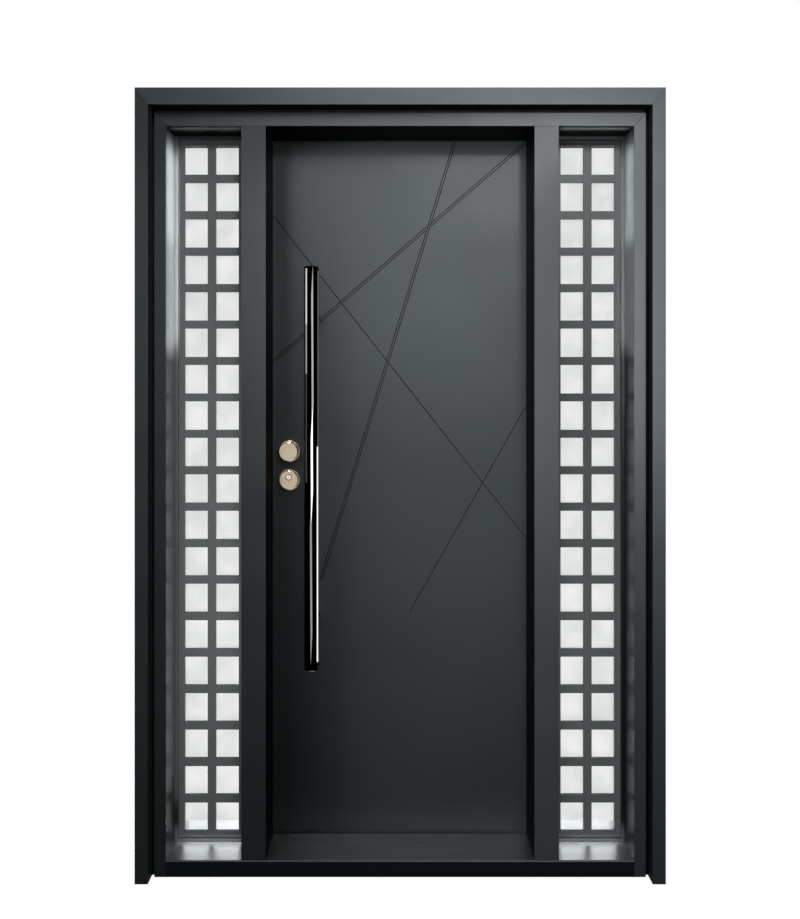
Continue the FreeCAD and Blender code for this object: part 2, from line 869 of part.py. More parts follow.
def hinge_pin(name, low, high):
    """Round pin fixed in the frame's half of the hinge."""
    body = start_body(name)
    extrude(
        body,
        "XY_Plane",
        low,
        high,
        circles=[("hinge_side", "hinge_axis", "hinge_pin_radius")],
    )
    return body


def hinges():
    """Three barrel hinges, evenly spaced between the lowest and the highest."""
    middle = "(hinge_low_height + hinge_high_height) / 2"
    heights = {"low": "hinge_low_height", "middle": middle, "high": "hinge_high_height"}
    for word, height in heights.items():
        foot = f"{height} - hinge_half_height"
        top = f"{height} + hinge_half_gap + hinge_half_height"
        hinge_half(f"hinge_frame_half_{word}", foot, height, 1, "hinge_pin_radius")
        hinge_half(
            f"hinge_leaf_half_{word}",
            f"{height} + hinge_half_gap",
            top,
            -1,
            "hinge_pin_radius + hinge_pin_play",
        )
        hinge_pin(f"hinge_pin_{word}", foot, top)


def check_features():
    """Stop on a failed feature, a cut that removed nothing, or a shape that isn't sound."""
    for item in doc.Objects:
        if "Invalid" in item.State or "Error" in item.State:
            raise RuntimeError(f"{item.Label} failed: {item.State}")
        if item.TypeId == "PartDesign::Pocket":
            removed = item.BaseFeature.Shape.Volume - item.Shape.Volume
            if removed < 0.5:
                raise RuntimeError(f"{item.Label} removes nothing")
    for node in nodes:
        if node.Shape.isNull() or not node.Shape.isValid() or not node.Shape.Solids:
            raise RuntimeError(f"{node.Label} has no sound shape")


def write_parts():
    """One STEP file for each piece, named after its label."""
    os.makedirs("parts", exist_ok=True)
    for node in nodes:
        node.Shape.exportStep(f"parts/{node.Label}.step")


# Frame of the unit
jamb("jamb_left", -1)
jamb("jamb_right", 1)
frame_head()
threshold()
seat_strike(mullion("mullion_left", -1))
mullion("mullion_right", 1)
casing_leg("architrave_left", -1)
casing_leg("architrave_right", 1)
casing_head()
door_seal()
strike_plate()

# Sidelights
for word, side in (("left", -1), ("right", 1)):
    front_bead(f"sidelight_bead_{word}", side)
    lattice(f"sidelight_lattice_{word}", side)
    glass(f"sidelight_glass_{word}", side)
    rear_bead(f"sidelight_rear_bead_{word}", side)

# Leaf and what it carries
leaf_core()
outer_panel()
inner_panel()
lock_faceplate()
lock_bolts()
pull_bar()
pull_posts()
escutcheon("escutcheon_upper", "upper_lock_height", "upper_escutcheon_depth")
bore_for_plug(escutcheon("escutcheon_lower", "lower_lock_height", "lower_escutcheon_depth"))
key_plug()
inner_rosettes()
inner_lever()
thumbturn("inner_thumbturn", "upper_lock_height")
hinges()

doc.recompute()
check_features()
write_parts()
print(f"{len(nodes)} pieces written")
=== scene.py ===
import json
import math
import bmesh
import bpy
from mathutils import Matrix, Vector

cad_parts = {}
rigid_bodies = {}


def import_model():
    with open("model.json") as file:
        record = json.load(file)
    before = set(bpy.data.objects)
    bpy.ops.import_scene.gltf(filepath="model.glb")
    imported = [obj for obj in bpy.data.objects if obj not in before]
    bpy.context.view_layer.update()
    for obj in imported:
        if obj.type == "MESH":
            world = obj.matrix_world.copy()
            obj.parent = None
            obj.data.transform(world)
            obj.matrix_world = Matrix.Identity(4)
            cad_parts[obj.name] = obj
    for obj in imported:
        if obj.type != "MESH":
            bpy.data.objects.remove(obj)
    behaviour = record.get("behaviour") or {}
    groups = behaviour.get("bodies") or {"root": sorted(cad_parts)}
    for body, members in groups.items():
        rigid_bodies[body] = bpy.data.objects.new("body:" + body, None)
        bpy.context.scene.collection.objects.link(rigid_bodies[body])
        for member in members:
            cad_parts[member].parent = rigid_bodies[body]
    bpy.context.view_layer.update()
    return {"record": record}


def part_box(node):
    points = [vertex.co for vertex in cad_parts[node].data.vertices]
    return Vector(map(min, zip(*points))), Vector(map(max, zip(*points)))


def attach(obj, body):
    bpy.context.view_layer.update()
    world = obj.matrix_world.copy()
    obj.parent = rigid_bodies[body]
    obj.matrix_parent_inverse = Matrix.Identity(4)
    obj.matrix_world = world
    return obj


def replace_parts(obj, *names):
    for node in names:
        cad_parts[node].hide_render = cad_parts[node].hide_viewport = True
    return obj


# Entrance door with two lattice-glazed sidelights: finishes, small fittings, light and camera.
# Metres, in the same frame as the solids: X to the right, Y into the wall, Z up.

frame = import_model()

scene = bpy.context.scene


def box_of(node):
    """Lowest and highest corner of a solid at rest."""
    low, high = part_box(node)
    return Vector(low), Vector(high)


# Camera worked out from the photograph's perspective
CAMERA_X = -0.026
CAMERA_DISTANCE = 2.6
EYE_HEIGHT = 1.407
SENSOR = 36
FOCAL_PIXELS = 907.5
PICTURE_WIDTH = 800
PICTURE_HEIGHT = 919
VANISHING_X = 391
VANISHING_Y = 386

# Planes that the scene is laid out from
THRESHOLD = box_of("threshold")
FRONT = THRESHOLD[0].y
BACK = THRESHOLD[1].y
PULL = box_of("pull_handle_bar")
CASING = box_of("architrave_head")
CASING_SIDE = box_of("architrave_right")[0].x
CASING_UNDER = CASING[0].z
UNIT_SIDE = CASING[1].x
UNIT_TOP = CASING[1].z
GROOVE_AT_SIDE = 0.009
GROOVE_AT_TOP = 0.012
FACE_SIDE = CASING_SIDE - GROOVE_AT_SIDE
FACE_TOP = CASING_UNDER - GROOVE_AT_TOP
REVEAL_SIDE = box_of("jamb_right")[0].x
REVEAL_TOP = box_of("frame_head")[0].z
BAR_X = (PULL[0].x + PULL[1].x) / 2
BAR_Y = (PULL[0].y + PULL[1].y) / 2
ROSETTES = box_of("inner_rosettes")
ROSETTE_X = (ROSETTES[0].x + ROSETTES[1].x) / 2
HINGE_PLATE = 0.004

# Engraved lines on the leaf: both ends (across, up), half width and shifts, all along X
LINES = (
    ((0.169, 2.152), (-0.240, 0.815), 0.0014, (-0.0035, 0.0035)),
    ((-0.394, 1.474), (0.400, 2.163), 0.0018, (-0.00525, 0.00525)),
    ((-0.394, 1.937), (0.400, 0.926), 0.0016, (0,)),
    ((0.400, 1.372), (0.030, 0.716), 0.0014, (0,)),
)


# Materials

def nodes_of(name):
    """A new node material: its tree, its shader and a function that adds a node."""
    material = bpy.data.materials.new(name)
    material.use_nodes = True
    tree = material.node_tree
    shader = tree.nodes["Principled BSDF"]

    def add(kind, **inputs):
        node = tree.nodes.new(kind)
        for key, value in inputs.items():
            node.inputs[key.replace("_", " ")].default_value = value
        return node

    return material, tree, shader, add


def surface_point(tree, add, stretch=(1, 1, 1)):
    """Object coordinates, stretched along the axes."""
    where = add("ShaderNodeTexCoord")
    mapping = add("ShaderNodeMapping")
    mapping.inputs["Scale"].default_value = stretch
    tree.links.new(where.outputs["Object"], mapping.inputs["Vector"])
    return mapping.outputs["Vector"]


def noise(tree, add, point, scale, detail=3.0):
    """A noise pattern at the given number of features a metre."""
    node = add("ShaderNodeTexNoise", Scale=scale, Detail=detail)
    tree.links.new(point, node.inputs["Vector"])
    return node.outputs["Fac"]


def ranged(tree, add, value, low, high):
    """The middle of a noise pattern spread over low to high."""
    node = add("ShaderNodeMapRange")
    node.inputs["From Min"].default_value = 0.3
    node.inputs["From Max"].default_value = 0.7
    node.inputs["To Min"].default_value = low
    node.inputs["To Max"].default_value = high
    tree.links.new(value, node.inputs["Value"])
    return node.outputs["Result"]


def blend_colours(tree, add, value, first, second):
    """A colour between two, chosen by a value from 0 to 1."""
    node = tree.nodes.new("ShaderNodeMix")
    node.data_type = "RGBA"
    node.inputs["A"].default_value = (*first, 1)
    node.inputs["B"].default_value = (*second, 1)
    tree.links.new(value, node.inputs["Factor"])
    return node.outputs["Result"]


def bump(tree, add, shader, height, distance):
    """Relief of the given height on the shader's normal."""
    node = add("ShaderNodeBump", Strength=1.0, Distance=distance)
    tree.links.new(height, node.inputs["Height"])
    tree.links.new(node.outputs["Normal"], shader.inputs["Normal"])
    return node


def facing_forward(tree, add):
    """1 on faces towards the front or back, 0 on reveals."""
    surface = add("ShaderNodeTexCoord")
    parts = add("ShaderNodeSeparateXYZ")
    tree.links.new(surface.outputs["Normal"], parts.inputs["Vector"])
    size = tree.nodes.new("ShaderNodeMath")
    size.operation = "ABSOLUTE"
    tree.links.new(parts.outputs["Y"], size.inputs[0])
    return size.outputs["Value"]


def eased_edges(tree, add, relief, radius):
    """Edges that catch the light as if they were rounded by the given radius."""
    edge = add("ShaderNodeBevel", Radius=radius)
    edge.samples = 4
    tree.links.new(edge.outputs["Normal"], relief.inputs["Normal"])


def powder_coat(
    name, dark, light, rough, relief=0.00003, grain=700.0, specular=0.5, reveal=None, edge=0.0
):
    """Baked paint: faint clouding, uneven gloss and a fine orange-peel relief. Given a reveal
    colour, faces turned away from the front and back take it, with little specular, as painted
    shade.
    """
    material, tree, shader, add = nodes_of(name)
    point = surface_point(tree, add)
    cloud = ranged(tree, add, noise(tree, add, point, 2.2), 0.0, 1.0)
    colour = blend_colours(tree, add, cloud, dark, light)
    shader.inputs["Specular IOR Level"].default_value = specular
    # Painted shade: faces that look sideways, up or down (the reveals) are painted near black and
    # lose most of their specular.
    if reveal:
        forward = facing_forward(tree, add)
        shaded = blend_colours(tree, add, forward, reveal, light)
        tree.links.new(colour, shaded.node.inputs["B"])
        colour = shaded
        reveal_shade_gloss = ranged(tree, add, forward, 0.03, specular)
        tree.links.new(reveal_shade_gloss, shader.inputs["Specular IOR Level"])
    tree.links.new(colour, shader.inputs["Base Color"])
    patch = ranged(tree, add, noise(tree, add, point, 7.0, 5.0), rough - 0.03, rough + 0.03)
    tree.links.new(patch, shader.inputs["Roughness"])
    relief_node = bump(tree, add, shader, noise(tree, add, point, grain, 2.0), relief)
    if edge:
        eased_edges(tree, add, relief_node, edge)
    return material


def metal(name, dark, light, rough, grain=900.0, relief=0.00001):
    """Bare or plated metal with a fine grain."""
    material, tree, shader, add = nodes_of(name)
    point = surface_point(tree, add)
    streak = noise(tree, add, point, grain, 3.0)
    colour = blend_colours(tree, add, ranged(tree, add, streak, 0.0, 1.0), dark, light)
    tree.links.new(colour, shader.inputs["Base Color"])
    shader.inputs["Metallic"].default_value = 1.0
    tree.links.new(
        ranged(tree, add, streak, rough - 0.05, rough + 0.05), shader.inputs["Roughness"]
    )
    bump(tree, add, shader, streak, relief)
    return material


def dark_chrome(name):
    """Polished black chrome, all but mirror smooth."""
    material, tree, shader, add = nodes_of(name)
    point = surface_point(tree, add)
    haze = ranged(tree, add, noise(tree, add, point, 9.0, 4.0), 0.0, 1.0)
    colour = blend_colours(tree, add, haze, (0.30, 0.30, 0.31), (0.36, 0.36, 0.37))
    tree.links.new(colour, shader.inputs["Base Color"])
    shader.inputs["Metallic"].default_value = 1.0
    patch = ranged(tree, add, noise(tree, add, point, 14.0, 3.0), 0.025, 0.045)
    tree.links.new(patch, shader.inputs["Roughness"])
    bump(tree, add, shader, noise(tree, add, point, 300.0, 2.0), 0.000002)
    return material


def sill_metal(name):
    """Metal sill: worn along its length and softly shining on top, with its front faces painted
    dark and not metallic as painted shade.
    """
    material, tree, shader, add = nodes_of(name)
    point = surface_point(tree, add, (0.15, 1, 1))
    wear = ranged(tree, add, noise(tree, add, point, 40.0, 5.0), 0.0, 1.0)
    worn = blend_colours(tree, add, wear, (0.52, 0.55, 0.56), (0.62, 0.65, 0.66))
    # Painted shade: faces towards the front or back get a dark, non-metallic colour in place of
    # the sill's metal.
    forward = facing_forward(tree, add)
    colour = blend_colours(tree, add, forward, (0.5, 0.5, 0.5), (0.026, 0.032, 0.036))
    tree.links.new(worn, colour.node.inputs["A"])
    tree.links.new(colour, shader.inputs["Base Color"])
    tree.links.new(ranged(tree, add, forward, 0.9, 0.0), shader.inputs["Metallic"])
    patch = ranged(tree, add, noise(tree, add, point, 18.0, 4.0), 0.26, 0.34)
    tree.links.new(patch, shader.inputs["Roughness"])
    bump(tree, add, shader, noise(tree, add, point, 250.0, 2.0), 0.000008)
    return material


def satin_anodised(name, dark, light, rough):
    """Soft satin metal with faint tarnish and a fine grain."""
    material, tree, shader, add = nodes_of(name)
    point = surface_point(tree, add)
    grain = ranged(tree, add, noise(tree, add, point, 35.0, 5.0), 0.0, 1.0)
    colour = blend_colours(tree, add, grain, dark, light)
    tree.links.new(colour, shader.inputs["Base Color"])
    shader.inputs["Metallic"].default_value = 1.0
    patch = ranged(tree, add, noise(tree, add, point, 60.0, 3.0), rough - 0.02, rough + 0.02)
    tree.links.new(patch, shader.inputs["Roughness"])
    bump(tree, add, shader, noise(tree, add, point, 2500.0, 1.0), 0.0000015)
    return material


def rubber(name):
    """Matt black sealing rubber."""
    material, tree, shader, add = nodes_of(name)
    point = surface_point(tree, add)
    dust = ranged(tree, add, noise(tree, add, point, 60.0, 4.0), 0.0, 1.0)
    colour = blend_colours(tree, add, dust, (0.004, 0.004, 0.004), (0.012, 0.012, 0.012))
    tree.links.new(colour, shader.inputs["Base Color"])
    patch = ranged(tree, add, noise(tree, add, point, 30.0), 0.7, 0.85)
    tree.links.new(patch, shader.inputs["Roughness"])
    shader.inputs["Specular IOR Level"].default_value = 0.12
    bump(tree, add, shader, noise(tree, add, point, 500.0), 0.00004)
    return material


def clear_glass(name):
    """Clear glazing with a breath of haze and a very slight waviness."""
    material, tree, shader, add = nodes_of(name)
    point = surface_point(tree, add)
    haze = ranged(tree, add, noise(tree, add, point, 11.0, 2.0), 0.0, 1.0)
    colour = blend_colours(tree, add, haze, (0.85, 0.86, 0.86), (0.94, 0.94, 0.94))
    tree.links.new(colour, shader.inputs["Base Color"])
    shader.inputs["Transmission Weight"].default_value = 1.0
    shader.inputs["IOR"].default_value = 1.45
    patch = ranged(tree, add, noise(tree, add, point, 8.0), 0.0, 0.02)
    tree.links.new(patch, shader.inputs["Roughness"])
    bump(tree, add, shader, noise(tree, add, point, 4.0, 1.0), 0.00005)
    return material


# Dark paint of the frame, casing and leaf: its two shades and its roughness
DARK_PAINT = ((0.018, 0.021, 0.023), (0.022, 0.026, 0.028), 0.42)
EASED_EDGE = 0.0015

SILL = sill_metal("sill_metal")
JAMB_COAT = powder_coat("jamb_coat", *DARK_PAINT, edge=EASED_EDGE)
# Pale grey of the strip along the sill's front edge: a painted highlight.
NOSE_HIGHLIGHT_COAT = powder_coat("sill_nose_painted_highlight", (0.26, 0.28, 0.29), (0.34, 0.36, 0.37), 0.45)
# Near black and barely glossy: painted shade inside the leaf's engraved grooves, and the colour
# of the dark mitre seams.
GROOVE_SHADE_AND_SEAM_COAT = powder_coat(
    "groove_shade_and_seam_coat", (0.003, 0.004, 0.004), (0.005, 0.006, 0.006), 0.6, specular=0.05
)
PLUG_METAL = metal("plug_nickel", (0.90, 0.86, 0.79), (0.96, 0.92, 0.85), 0.14)
# Paler than the leaf: a painted highlight along one edge of each engraved groove.
GROOVE_EDGE_HIGHLIGHT = powder_coat("groove_edge_painted_highlight", (0.042, 0.047, 0.050), (0.052, 0.057, 0.060), 0.40)

FINISHES = {
    # The frame's reveals are painted near black: painted shade.
    "frame_paint": powder_coat(
        "frame_coat_with_painted_reveal_shade", *DARK_PAINT, reveal=(0.002, 0.003, 0.003), edge=EASED_EDGE
    ),
    "casing_paint": powder_coat("casing_coat", *DARK_PAINT, edge=EASED_EDGE),
    "lattice_paint": powder_coat(
        "lattice_coat", (0.060, 0.064, 0.065), (0.070, 0.074, 0.075), 0.42
    ),
    "leaf_paint": powder_coat("leaf_coat", *DARK_PAINT),
    "glass": clear_glass("sidelight_clear_glass"),
    "seal_rubber": rubber("seal_black"),
    "handle_black": dark_chrome("handle_black_chrome"),
    "champagne_metal": satin_anodised(
        "champagne_satin", (0.64, 0.53, 0.39), (0.69, 0.57, 0.42), 0.22
    ),
    "bright_steel": metal("plated_steel", (0.50, 0.50, 0.49), (0.62, 0.62, 0.61), 0.32),
    "hinge_steel": powder_coat(
        "hinge_coat", (0.020, 0.022, 0.023), (0.026, 0.028, 0.030), 0.36
    ),
    "satin_nickel": metal("nickel_satin", (0.48, 0.45, 0.41), (0.58, 0.55, 0.50), 0.30),
}

# Finishes of single solids
OWN_FINISHES = {
    "threshold": SILL,
    "jamb_left": JAMB_COAT,
    "jamb_right": JAMB_COAT,
    "sidelight_bead_left": JAMB_COAT,
    "sidelight_bead_right": JAMB_COAT,
}


def dress_solids():
    """Give each solid the finish of its slot, or its own."""
    for part in frame["record"]["subparts"]:
        obj = bpy.data.objects[part["node"]]
        finish = OWN_FINISHES.get(part["node"]) or FINISHES[part["material_slot"]]
        if not obj.material_slots:
            obj.data.materials.append(finish)
        for slot in obj.material_slots:
            slot.material = finish


# Shapes

def link(name, mesh, body, slot, finish=None):
    """Put a mesh in the scene as a piece of a body."""
    obj = bpy.data.objects.new(name, mesh)
    scene.collection.objects.link(obj)
    mesh.materials.append(finish or FINISHES[slot])
    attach(obj, body)
    return obj


def smooth(mesh, degrees=38):
    """Smooth shading with the sharp edges kept."""
    mesh.shade_smooth()
    mesh.set_sharp_from_angle(angle=math.radians(degrees))


def softened(points, radii, steps=6):
    """A profile with its corners rounded by the given radii."""
    out = []
    for index, (point, radius) in enumerate(zip(points, radii)):
        here = Vector(point)
        if not radius:
            out.append(tuple(here))
            continue
        before = (Vector(points[index - 1]) - here).normalized()
        after = (Vector(points[index + 1]) - here).normalized()
        half = before.angle(after) / 2
        reach = radius / math.tan(half)
        centre = here + (before + after).normalized() * (radius / math.sin(half))
        first = here + before * reach - centre
        last = here + after * reach - centre
        for step in range(steps + 1):
            blend = step / steps
            spoke = first.lerp(last, blend).normalized() * radius
            out.append(tuple(centre + spoke))
    return out


TURNED_AXES = {
    "-y": (Vector((1, 0, 0)), Vector((0, 0, 1)), Vector((0, -1, 0))),
    "+y": (Vector((-1, 0, 0)), Vector((0, 0, 1)), Vector((0, 1, 0))),
    "-x": (Vector((0, -1, 0)), Vector((0, 0, 1)), Vector((-1, 0, 0))),
    "+x": (Vector((0, 1, 0)), Vector((0, 0, 1)), Vector((1, 0, 0))),
    "+z": (Vector((1, 0, 0)), Vector((0, 1, 0)), Vector((0, 0, 1))),
}


def turned_mesh(name, rings, places, axis, segments=96, degrees=38):
    """A turned form at each place. A ring is a radius, or a function of the angle, and a rise."""
    across, up, out = TURNED_AXES[axis]
    verts, faces = [], []
    for place in places:
        start = len(verts)
        for radius, rise in rings:
            for step in range(segments):
                turn = 2 * math.pi * step / segments
                reach = radius(turn) if callable(radius) else radius
                spoke = across * math.cos(turn) + up * math.sin(turn)
                verts.append(Vector(place) + spoke * reach + out * rise)
        for ring in range(len(rings) - 1):
            for step in range(segments):
                follow = (step + 1) % segments
                low, high = start + ring * segments, start + (ring + 1) * segments
                faces.append((low + step, high + step, high + follow, low + follow))
        first, last = start, start + (len(rings) - 1) * segments
        faces.append(tuple(first + step for step in range(segments)))
        faces.append(tuple(last + step for step in reversed(range(segments))))
    mesh = bpy.data.meshes.new(name)
    mesh.from_pydata(verts, [], faces)
    mesh.update()
    smooth(mesh, degrees)
    return mesh


def ring_mesh(name, frames):
    """Upright rectangular rings: (left, right, foot, top, front, back, width) each."""
    verts, faces = [], []
    for left, right, foot, top, front, back, width in frames:
        start = len(verts)
        for inset in (0, width):
            for y in (front, back):
                verts += [
                    (left + inset, y, foot + inset),
                    (right - inset, y, foot + inset),
                    (right - inset, y, top - inset),
                    (left + inset, y, top - inset),
                ]
        for step in range(4):
            follow = (step + 1) % 4
            outer, outer_back = start + step, start + 4 + step
            inner, inner_back = start + 8 + step, start + 12 + step
            shift = follow - step
            faces += [
                (outer, outer + shift, inner + shift, inner),
                (outer_back, inner_back, inner_back + shift, outer_back + shift),
                (outer, outer_back, outer_back + shift, outer + shift),
                (inner, inner + shift, inner_back + shift, inner_back),
            ]
    mesh = bpy.data.meshes.new(name)
    mesh.from_pydata(verts, [], faces)
    mesh.update()
    return mesh


def slab_mesh(name, slabs, bevel=0.0, steps=2):
    """Plain sheets, each from its lowest to its highest corner, with eased edges."""
    build = bmesh.new()
    for low, high in slabs:
        made = bmesh.ops.create_cube(build, size=1)["verts"]
        size = Vector(high) - Vector(low)
        middle = (Vector(high) + Vector(low)) / 2
        for vert in made:
            vert.co = Vector(a * b for a, b in zip(vert.co, size)) + middle
    if bevel:
        bmesh.ops.bevel(
            build,
            geom=build.edges[:],
            offset=bevel,
            segments=steps,
            affect="EDGES",
            profile=0.5,
        )
    mesh = bpy.data.meshes.new(name)
    build.to_mesh(mesh)
    build.free()
    return mesh


# Locks and handle

def offset_circle(rise, radius):
    """Distance from a middle to a circle whose own middle lies higher, by the angle."""

    def reach(turn):
        along = rise * math.sin(turn)
        return along + math.sqrt(radius**2 - (rise * math.cos(turn)) ** 2)

    return reach


def lock_guard(node, plug=None, play=0.0014):
    """A turned lock guard with a rounded face on a base ring, bored where a plug turns in it."""
    low, high = box_of(node)
    radius = (high.x - low.x) / 2
    place = Vector(((low.x + high.x) / 2, high.y, (low.z + high.z) / 2))
    depth = high.y - low.y
    face = radius * 0.892
    base = 0.0048
    outer = [
        (radius, 0),
        (radius, base),
        (face + 0.0004, base),
        (face, depth),
        (face - 0.0028, depth),
    ]
    rings = softened(outer, (0, 0.0016, 0, 0.0022, 0))
    if plug:
        first, last = box_of(plug)
        rise = (first.z + last.z) / 2 - place.z
        bore = offset_circle(rise, (last.x - first.x) / 2 + play)
        rings += [(bore, depth), (bore, 0.0002)]
    else:
        rings.append((0.0005, depth))
    turned = turned_mesh(node, rings, [place], "-y", degrees=25)
    guard = link(node + "_turned", turned, "door_leaf", "champagne_metal")
    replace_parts(guard, node)


def key_face(slot_half=0.0013, slot_reach=0.0036, keyway=0.008, rim=0.0014, slant=0.0040):
    """The plug's face: a chamfered disc with an upright keyway."""
    low, high = box_of("key_plug")
    place = ((low.x + high.x) / 2, low.y, (low.z + high.z) / 2)
    radius = (high.x - low.x) / 2

    def slot(turn):
        across, up = abs(math.cos(turn)), abs(math.sin(turn))
        return min(slot_half / max(across, 0.01), slot_reach / max(up, 0.01))

    rings = [(slot, -keyway), (slot, 0), (radius - rim, 0), (radius, -slant)]
    rings.append((radius, low.y - high.y))
    plug = link(
        "key_plug_turned",
        turned_mesh("key_plug", rings, [place], "-y", 64),
        "key_barrel",
        "satin_nickel",
        PLUG_METAL,
    )
    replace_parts(plug, "key_plug")


def pull_bar(wall=0.0026, cap=0.0030):
    """The round bar with rolled rims and end caps set back in the tube."""
    low, high = PULL
    radius = (high.x - low.x) / 2
    place = ((low.x + high.x) / 2, (low.y + high.y) / 2, low.z)
    tall = high.z - low.z
    profile = [
        (0.0005, cap),
        (radius - wall, cap),
        (radius - wall, 0),
        (radius, 0),
        (radius, tall),
        (radius - wall, tall),
        (radius - wall, tall - cap),
        (0.0005, tall - cap),
    ]
    rings = softened(profile, (0, 0, 0.0010, 0.0012, 0.0012, 0.0010, 0, 0))
    bar = link(
        "pull_handle_tube",
        turned_mesh("pull_handle", rings, [place], "+z", 128),
        "door_leaf",
        "handle_black",
    )
    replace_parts(bar, "pull_handle_bar")
    bar.visible_shadow = False


def inner_rosettes():
    """Three room-side rosettes with rounded rims and a fine groove."""
    low, high = ROSETTES
    radius = (high.x - low.x) / 2
    deep = high.y - low.y
    outer = [
        (radius, 0),
        (radius, deep),
        (radius * 0.62, deep),
        (radius * 0.60, deep - 0.0004),
        (radius * 0.58, deep),
        (0.0005, deep),
    ]
    rings = softened(outer, (0, 0.0028, 0, 0, 0, 0))
    lock = box_of("escutcheon_lower")
    levels = (low.z + radius, (lock[0].z + lock[1].z) / 2, high.z - radius)
    places = [(ROSETTE_X, low.y, level) for level in levels]
    discs = turned_mesh("rosettes", rings, places, "+y")
    turned = link("inner_rosettes_turned", discs, "door_leaf", "satin_nickel")
    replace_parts(turned, "inner_rosettes")


def inner_lever():
    """The bent lever that comes out of the lowest rosette."""
    low, high = box_of("inner_lever")
    lever = lever_mesh("lever", ROSETTE_X, low, high)
    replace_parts(link("inner_lever_bent", lever, "door_leaf", "satin_nickel"), "inner_lever")


def inner_thumbturn(half=0.0045):
    """The rounded wing that locks the door by hand, on a short stem."""
    low, high = box_of("inner_thumbturn")
    place = (ROSETTE_X, low.y, (low.z + high.z) / 2)
    stem = turned_mesh("turn_stem", [(0.0079, 0), (0.0074, 0.0085)], [place], "+y", 64)
    link("inner_turn_stem", stem, "door_leaf", "satin_nickel")
    first = (ROSETTE_X - half, low.y + 0.008, low.z)
    last = (ROSETTE_X + half, high.y, high.z)
    wing = slab_mesh("turn", [(first, last)], 0.0032, 5)
    smooth(wing, 60)
    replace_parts(link("inner_turn_wing", wing, "door_leaf", "satin_nickel"), "inner_thumbturn")


def lever_mesh(name, across, low, high, bend=0.020, segments=40):
    """A round bar out of the rosette, a bend and an arm with a rounded tip."""
    radius = (high.z - low.z) / 2
    level = (low.z + high.z) / 2
    out = high.y - radius
    path = [(across, low.y, radius), (across, out - bend, radius)]
    for step in range(1, 10):
        turn = math.radians(90 * step / 10)
        path.append(
            (across + bend * (1 - math.cos(turn)), out - bend * (1 - math.sin(turn)), radius)
        )
    path.append((across + bend, out, radius))
    tip = high.x - radius * 0.7
    for step in range(8):
        turn = math.radians(88 * step / 7)
        path.append((tip + radius * 0.7 * math.sin(turn), out, radius * math.cos(turn) ** 0.6))
    verts, faces = [], []
    for index, (x, y, thick) in enumerate(path):
        before = path[max(index - 1, 0)]
        after = path[min(index + 1, len(path) - 1)]
        ahead = Vector((after[0] - before[0], after[1] - before[1], 0)).normalized()
        across_path = Vector((ahead.y, -ahead.x, 0))
        for step in range(segments):
            turn = 2 * math.pi * step / segments
            spoke = across_path * math.cos(turn) + Vector((0, 0, 1)) * math.sin(turn)
            verts.append(Vector((x, y, level)) + spoke * thick)
    for ring in range(len(path) - 1):
        for step in range(segments):
            follow = (step + 1) % segments
            near, far = ring * segments, (ring + 1) * segments
            faces.append((near + step, far + step, far + follow, near + follow))
    faces.append(tuple(reversed(range(segments))))
    faces.append(tuple((len(path) - 1) * segments + step for step in range(segments)))
    mesh = bpy.data.meshes.new(name)
    mesh.from_pydata(verts, [], faces)
    mesh.update()
    smooth(mesh)
    return mesh


def line_mesh(name, section):
    """The engraved lines, each drawn with a section of (share of half width, depth) points."""
    low, high = box_of("leaf_outer_panel")
    verts, faces = [], []
    for first, last, half, shifts in LINES:
        for shift in shifts:
            start = len(verts)
            for x, z in (first, last):
                kept = min(max(x + shift, low.x + 2 * half), high.x - 2 * half)
                if kept != x + shift:
                    z += (kept - x - shift) * (last[1] - first[1]) / (last[0] - first[0])
                for share, depth in section:
                    verts.append((kept + share * half, low.y + depth, z))
            count = len(section)
            for step in range(count - 1):
                near, far = start + step, start + count + step
                faces.append((near, near + 1, far + 1, far))
    mesh = bpy.data.meshes.new(name)
    mesh.from_pydata(verts, [], faces)
    mesh.update()
    return mesh


def engraved_lines():
    """Near-black V-cut lines in the leaf's engraved grooves as painted shade, and a paler strip
    beside each as a painted highlight.
    """
    cut = line_mesh("line_cuts", ((-1, 0.0001), (0, 0.0011), (1, 0.0001)))
    link("leaf_engraved_lines", cut, "door_leaf", "leaf_paint", GROOVE_SHADE_AND_SEAM_COAT)
    lip = line_mesh("line_highlights", ((1.0, -0.00003), (1.45, -0.00003)))
    link("leaf_line_highlights", lip, "door_leaf", "leaf_paint", GROOVE_EDGE_HIGHLIGHT)


# Joints of the frame

def groove_shade_lining(skin=0.0003, shy_of_face=0.0008, shy_of_casing=0.0012):
    """Black sheets along the groove between the casing and the inner frame, with the sealing
    rubber's finish: painted shade.
    """
    face = FRONT + shy_of_face
    lip = CASING[0].y + shy_of_casing
    floor_of_groove = CASING[1].y
    slabs = []
    for side in (-1, 1):
        for first, last, front in (
            (FACE_SIDE, FACE_SIDE + skin, face),
            (CASING_SIDE - skin, CASING_SIDE, lip),
            (FACE_SIDE, CASING_SIDE, floor_of_groove - skin),
        ):
            low, high = sorted((side * first, side * last))
            slabs.append(((low, front, 0.001), (high, floor_of_groove, CASING_UNDER)))
    for first, last, front in (
        (FACE_TOP, FACE_TOP + skin, face),
        (CASING_UNDER - skin, CASING_UNDER, lip),
        (FACE_TOP, CASING_UNDER, floor_of_groove - skin),
    ):
        slabs.append(((-CASING_SIDE, front, first), (CASING_SIDE, floor_of_groove, last)))
    link("groove_lining_foam", slab_mesh("groove_shade_lining", slabs), "frame", "seal_rubber")


